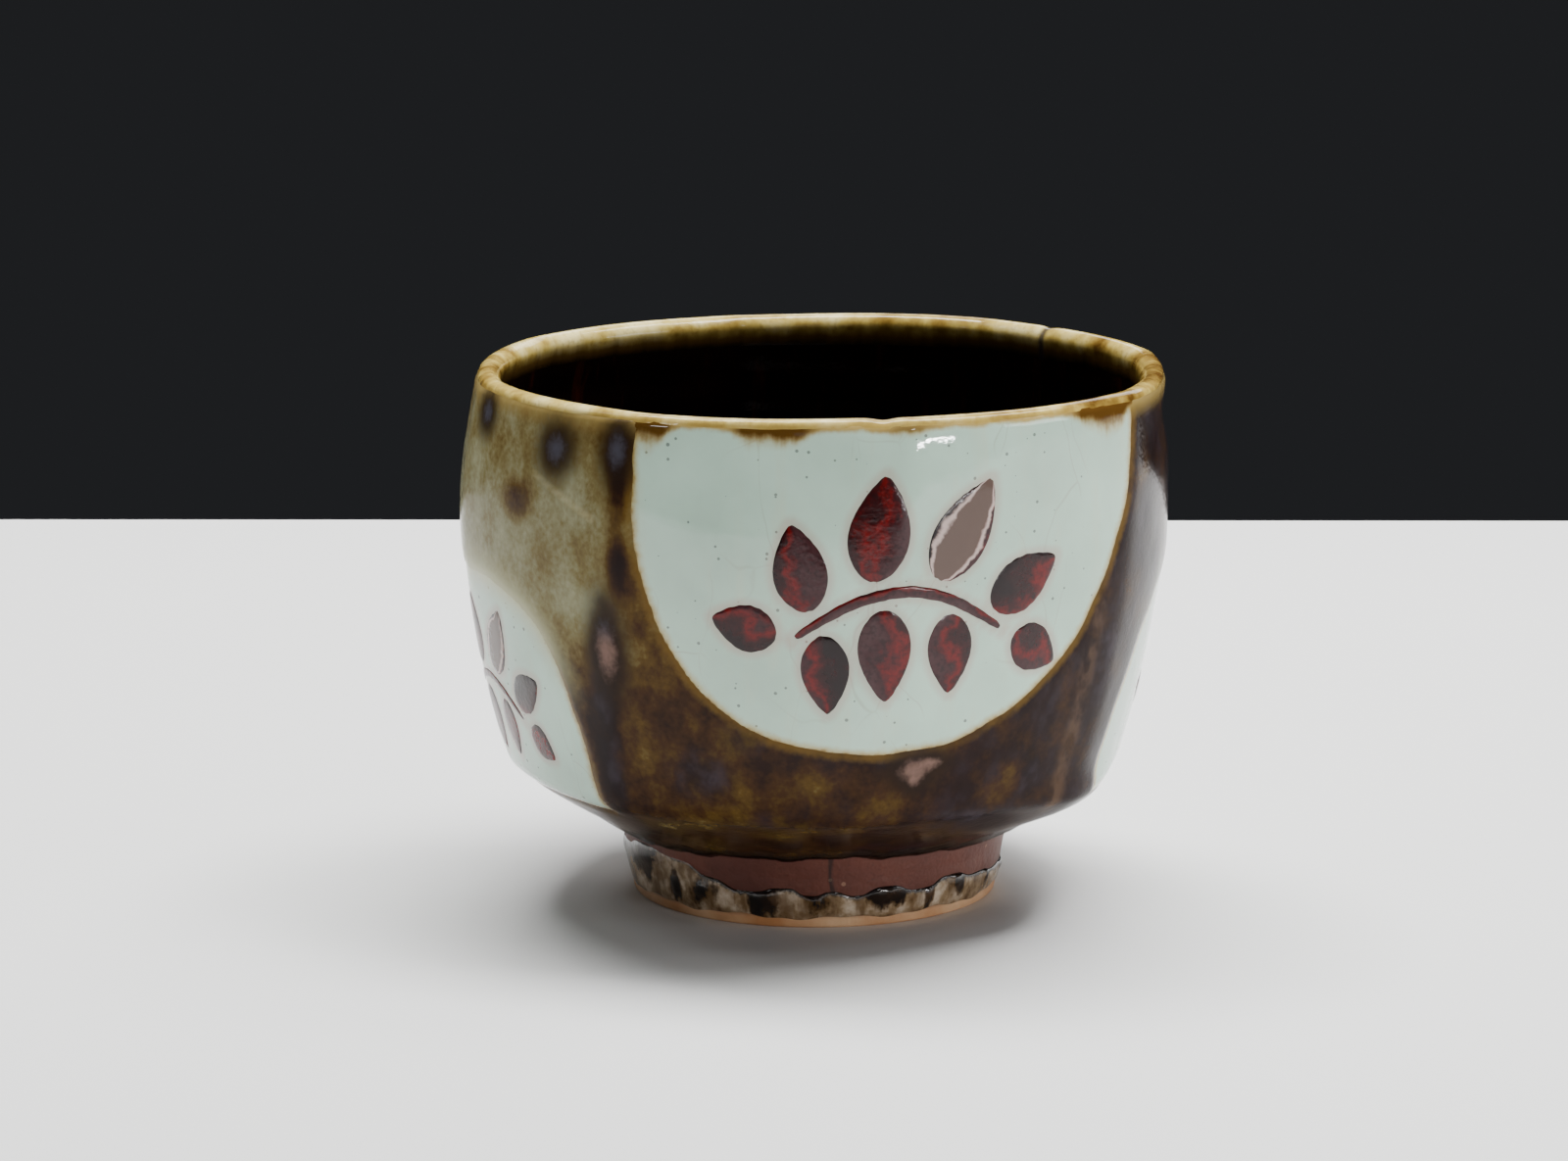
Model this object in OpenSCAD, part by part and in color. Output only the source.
// Faceted stoneware tea bowl on a separate foot ring, with its glaze coats and brushwork.
// Millimetres, +Z up. The origin is the middle of the foot, on the surface that the bowl stands on.
// Bearings are in degrees from the front (-Y), positive towards +X.

/* [Bowl] */
// Diameter across the arrises, the corners between facets, at the widest height
arris_d = 121; // [112:1:130]
// Height from the foot to the top of the lip
bowl_h = 91; // [88:1:96]
// Height at which the bowl is widest
widest_z = 71; // [66:1:74]
// Radius of the wall's upright curve
wall_arc_r = 150; // [130:5:180]
// Thickness of the glazed wall, which is also that of the round lip
wall_t = 4.4; // [3.8:0.2:5.4]
// Height of the glazed floor inside
floor_z = 17; // [16:0.5:20]
// Radius of the curve between floor and wall inside
floor_curve_r = 26; // [20:1:30]

/* [Facets] */
// Radius of each facet round the bowl: the larger it is, the flatter the facet
facet_r = 80; // [70:2:95]
// Bearing of the arris in the middle of the front window
front_arris = 15; // [0:1:30]

/* [Underside and foot] */
// Slope of the underside between foot and hip
underside_angle = 31; // [29:1:34]
// Rounding of the hip, where the underside turns up into the wall
hip_r = 6; // [4:0.5:8]
// Height of the foot ring
foot_h = 9; // [7:0.5:10]
// Outer radius of the foot ring where it stands
foot_bottom_r = 30.8; // [28:0.2:32]
// Outer radius of the foot ring where it joins the bowl
foot_top_r = 32.4; // [30:0.2:33]
// Width of the foot ring
foot_w = 6.4; // [5:0.2:8]
// Radius of the neck above the foot ring
neck_r = 33; // [32.6:0.2:34]
// Height at which the neck turns into the underside
neck_z = 11.2; // [10.4:0.2:12]

/* [Glaze] */
// Thickness of the pale coat, which covers the whole outside of the wall
pale_t = 0.4; // [0.3:0.05:0.6]
// Thickness of the iron coat that lies over the pale one
iron_t = 0.3; // [0.2:0.05:0.5]
// How far the brushed leaves stand up from the pale coat
brush_t = 0.24; // [0.15:0.01:0.3]
// Height on the underside where the outer glaze stops
glaze_stop_z = 12.5; // [12.5:0.5:16]
// Height at which the lip glaze meets the wall's coats
lip_line_z = 87.2; // [85:0.2:88]
// Thickness of the glaze on the foot ring
foot_glaze_t = 0.5; // [0.3:0.1:0.8]
// Lower edge of the glaze on the foot ring
foot_glaze_low = 1.8; // [1.2:0.2:2.6]
// Upper edge of the glaze on the foot ring, before its scallops
foot_glaze_high = 7.4; // [6.4:0.2:8]

/* [Windows in the iron coat] */
// Lowest point of the two windows that are open at the lip
bowl_window_z = 35.3; // [32:0.5:42]
// Highest point of the two arched windows
arch_window_z = 59; // [50:1:64]
// Level lower edge of the two arched windows, along the hip
arch_window_low = 21.5; // [20:0.5:26]
// Half the bearing that a window open at the lip spans
bowl_window_half = 44; // [36:1:44]
// Half the bearing that an arched window spans
arch_window_half = 38; // [30:1:42]
// Squareness of a window's round end: 2 is an ellipse
window_square = 2.4; // [2:0.1:3.5]

/* [Hidden] */
$fn = 96;

// Two facets make one window, and four windows go round the bowl
facet_angle = 45;
window_angle = 2 * facet_angle;
window_bearings = [for (i = [0 : 3]) front_arris + i * window_angle];

// The bowl is thrown round, and the flatter facets are cut between arrises that keep the thrown radius
arris_r = arris_d / 2;
facet_half = facet_angle / 2;
facet_setback = sqrt(pow(facet_r, 2) - pow(arris_r * sin(facet_half), 2)) - arris_r * cos(facet_half);
function from_facet(bearing) = (bearing - front_arris + 720) % facet_angle - facet_half;
function facet_share(bearing) = let (turn = from_facet(bearing))
    (sqrt(pow(facet_r, 2) - pow(facet_setback * sin(turn), 2)) - facet_setback * cos(turn)) / arris_r;

// The thrown section. Skin moves a surface outwards; the coats lie between two skins of the outside
coat_t = pale_t + iron_t;
wall_x = arris_r - wall_arc_r;
inner_arc_r = wall_arc_r - wall_t;

slope = tan(underside_angle);
hip_offset = neck_z - neck_r * slope + hip_r / cos(underside_angle) - widest_z;
hip_a = 1 + slope * slope;
hip_b = slope * hip_offset - wall_x;
hip_c = pow(wall_x, 2) + pow(hip_offset, 2) - pow(wall_arc_r - hip_r, 2);
hip_x = (sqrt(hip_b * hip_b - hip_a * hip_c) - hip_b) / hip_a;
hip_z = widest_z + slope * hip_x + hip_offset;
hip_low_z = hip_z - hip_r * cos(underside_angle);
hip_high_z = widest_z + (hip_z - widest_z) * wall_arc_r / (wall_arc_r - hip_r);

lip_r = wall_t / 2;
lip_z = bowl_h - lip_r;
lip_x = wall_x + sqrt(pow(wall_arc_r - lip_r, 2) - pow(lip_z - widest_z, 2));

floor_curve_z = floor_z + floor_curve_r;
floor_curve_x = wall_x + sqrt(pow(inner_arc_r - floor_curve_r, 2) - pow(floor_curve_z - widest_z, 2));
floor_join_z = widest_z + (floor_curve_z - widest_z) * inner_arc_r / (inner_arc_r - floor_curve_r);

function arc_x(x, z, r, height) = x + sqrt(pow(r, 2) - pow(height - z, 2));
function slope_x(z, skin) = neck_r + (z - neck_z + skin / cos(underside_angle)) / slope;
function outer_x(z, skin) =
    z > hip_high_z ? arc_x(wall_x, widest_z, wall_arc_r + skin, z) :
    z > hip_low_z ? arc_x(hip_x, hip_z, hip_r + skin, z) : slope_x(z, skin);

// Share of roundness left in the plan: none from the hip up, and all of it at the neck
function roundness(z) = max(0, min(1, (hip_high_z - z) / (hip_high_z - neck_z)));
round_share = facet_share(front_arris + facet_half);

// Point on the bowl at a bearing, from a thrown radius and a height
function on_bowl(bearing, x, z) = let (r = x * (facet_share(bearing) * (1 - roundness(z))
                                                + round_share * roundness(z)))
    [r * sin(bearing), -r * cos(bearing), z];

// Columns of the bowl's surfaces, closest together at the sides of the windows, where two facets meet
columns_per_facet = 6;
columns = [for (middle = window_bearings) for (i = [-columns_per_facet : columns_per_facet - 1])
    middle + facet_angle * sin(90 * i / columns_per_facet)];

function steps(low, high, count) = [for (i = [0 : count]) low + (high - low) * i / count];
function reversed(list) = [for (i = [len(list) - 1 : -1 : 0]) list[i]];
function ring(x, z) = [for (bearing = columns) on_bowl(bearing, x, z)];

// Sections as lists of rings, each from low to high
side_heights = concat(steps(glaze_stop_z, hip_low_z, 2), steps(hip_low_z + 1.2, hip_high_z, 2),
                      steps(hip_high_z + 9, lip_line_z, 5));
function outside(skin) = [for (z = side_heights) ring(outer_x(z, skin), z)];
function inside(skin) = concat(
    [for (turn = steps(-90, -14, 6)) ring(floor_curve_x + (floor_curve_r + skin) * cos(turn),
                                          floor_curve_z + (floor_curve_r + skin) * sin(turn))],
    [for (z = steps(floor_join_z + 6, lip_line_z, 4)) ring(arc_x(wall_x, widest_z, inner_arc_r + skin, z), z)]);
function over_lip(skin) =
    [for (turn = steps(0, 180, 6)) ring(lip_x + (lip_r + skin) * cos(turn), lip_z + (lip_r + skin) * sin(turn))];

// Solid through a list of rings. It closes on itself, or with a flat cap at each end
module loft(rings, capped) {
    n = len(rings[0]);
    last = len(rings) - 1;
    sides = [for (i = [0 : capped ? last - 1 : last]) for (j = [0 : n - 1])
        let (up = (i + 1) % (last + 1), next = (j + 1) % n)
        each [[i * n + j, up * n + j, up * n + next], [i * n + j, up * n + next, i * n + next]]];
    caps = capped ? [[for (j = [0 : n - 1]) j], [for (j = [n - 1 : -1 : 0]) last * n + j]] : [];
    polyhedron(points = [for (r = rings) each r], faces = concat(sides, caps), convexity = 6);
}

// Bowl thrown in one piece and then cut into facets
module clay_bowl() {
    color("#b98a6d")
        loft(concat([ring(neck_r, foot_h), ring(neck_r, neck_z + coat_t)], outside(-coat_t),
                    over_lip(-coat_t), reversed(inside(coat_t))), capped = true);
}

// Ring of clay luted under the bowl
module foot_ring() {
    edge = 0.8;
    color("#a9684f")
        rotate_extrude()
            polygon([[foot_bottom_r - foot_w + edge, 0], [foot_bottom_r - edge, 0], [foot_bottom_r, edge],
                     [foot_top_r, foot_h], [foot_bottom_r - foot_w - edge, foot_h],
                     [foot_bottom_r - foot_w, edge]]);
}

// Dark glaze poured into the bowl
module liner_glaze() {
    color("#160d0a") loft(concat(inside(coat_t), reversed(inside(0))), capped = true);
}

// Thick glaze that rounds the lip
module lip_glaze() {
    outer_ring = function (skin) ring(outer_x(lip_line_z, skin), lip_line_z);
    inner_ring = function (skin) ring(arc_x(wall_x, widest_z, inner_arc_r + skin, lip_line_z), lip_line_z);
    color("#8a7440")
        loft(concat([outer_ring(0)], over_lip(0), [inner_ring(0), inner_ring(coat_t)],
                    reversed(over_lip(-coat_t)), [outer_ring(-coat_t)]), capped = false);
}

// Pale coat over the wall, seen in the windows
module pale_glaze() {
    color("#c9d6d0") loft(concat(outside(-iron_t), reversed(outside(-coat_t))), capped = false);
}

// Window outline as a half superellipse in bearing and height, from one side over its end to the other
function window_outline(half, open_z, end_z) = [for (turn = steps(0, 180, 24))
    let (across = cos(turn),
         bearing = half * sign(across) * pow(abs(across), 2 / window_square),
         z = open_z + (end_z - open_z) * pow(sin(turn), 2 / window_square))
    [outer_x(z, 0) * sin(bearing), z]];

// Opening towards a bearing, from the bowl's axis outwards
module window(bearing, half, open_z, end_z) {
    rotate([90, 0, bearing])
        linear_extrude(height = arris_d) polygon(window_outline(half, open_z, end_z));
}

// Iron coat over the pale one: it runs over and under two windows, and under the two that reach the lip
module iron_glaze() {
    color("#4a3316")
        difference() {
            loft(concat(outside(0), reversed(outside(-iron_t))), capped = false);
            for (i = [0, 2]) window(window_bearings[i], bowl_window_half, bowl_h, bowl_window_z);
            for (i = [1, 3]) window(window_bearings[i], arch_window_half, arch_window_low, arch_window_z);
        }
}

// Dripped glaze round the foot ring, scalloped along its upper edge
module foot_glaze() {
    scallops = 14;
    scallop_r = 4.2;
    side = (foot_top_r - foot_bottom_r) / foot_h;
    low_r = foot_bottom_r + side * foot_glaze_low;
    high_r = foot_bottom_r + side * foot_glaze_high;
    color("#8f8a82")
        difference() {
            rotate_extrude()
                polygon([[low_r, foot_glaze_low], [low_r + foot_glaze_t, foot_glaze_low],
                         [high_r + foot_glaze_t, foot_glaze_high], [high_r, foot_glaze_high]]);
            for (i = [0 : scallops - 1]) {
                depth = 1.6 + 0.9 * sin(i * 137);
                rotate([90, 0, i * 360 / scallops + 5 * sin(i * 71)])
                    translate([0, foot_glaze_high + scallop_r - depth, 0])
                        cylinder(r = scallop_r, h = neck_r * 2);
            }
        }
}

// One brush stroke on the pale coat at a bearing: each row is [along the wall, height, half width]
module stroke(bearing, rows, turn) {
    across = [-sin(turn), cos(turn)];
    place = function (p, skin) on_bowl(bearing + p[0] / arris_r * 180 / PI, outer_x(p[1], skin - iron_t), p[1]);
    loft([for (row = rows) let (p = [row[0], row[1]])
        [place(p - across * row[2], 0), place(p, -pale_t / 2), place(p + across * row[2], 0), place(p, brush_t)]],
        capped = true);
}

// A leaf springs from start and points along its turn; its two ends are blunt
function leaf_rows(start, turn, length, width) = [for (share = steps(0, 1, 8))
    [start[0] + length * share * cos(turn), start[1] + length * share * sin(turn),
     width / 2 * max(0.12, pow(sin(180 * pow(share, 0.8)), 0.8))]];

// Spray on an arched stem, each leaf clear of it: [share of the stem, turn, length, width]
leaf_gap = 2.5;
stem_w = 2;
stem_span = 42;
stem_rise = 9;
spray = [[0, 165, 13, 9.5], [0.1, 104, 17, 11], [0.14, -86, 15.5, 10], [0.36, 86, 20, 12.5], [0.41, -88, 18, 11],
         [0.62, 60, 21, 12.5], [0.72, -88, 15.5, 10], [0.87, 28, 17, 11], [1, -34, 14, 9.5]];
function stem_at(share) = [(share - 0.5) * stem_span, stem_rise * sin(180 * share)];

// Whole spray in a window: its middle height, and its size as a share of the largest
module leaf_spray(bearing, middle_z, size) {
    middle = [0, middle_z];
    stem = [for (share = steps(0, 1, 8)) concat(middle + size * stem_at(share), size * stem_w / 2)];
    color("#4b1a1c") {
        stroke(bearing, stem, turn = 0);
        for (leaf = spray) {
            start = middle + size * (stem_at(leaf[0]) + leaf_gap * [cos(leaf[1]), sin(leaf[1])]);
            stroke(bearing, leaf_rows(start, leaf[1], size * leaf[2], size * leaf[3]), turn = leaf[1]);
        }
    }
}

// The sprays in the windows at the lip are larger than those in the arched ones
module bowl_leaves(bearing) { leaf_spray(bearing, middle_z = 55, size = 0.9); }
module arch_leaves(bearing) { leaf_spray(bearing, middle_z = 34, size = 0.66); }
module front_leaves() { bowl_leaves(window_bearings[0]); }
module right_leaves() { arch_leaves(window_bearings[1]); }
module back_leaves() { bowl_leaves(window_bearings[2]); }
module left_leaves() { arch_leaves(window_bearings[3]); }

clay_bowl();
foot_ring();
liner_glaze();
lip_glaze();
pale_glaze();
iron_glaze();
foot_glaze();
front_leaves();
right_leaves();
back_leaves();
left_leaves();
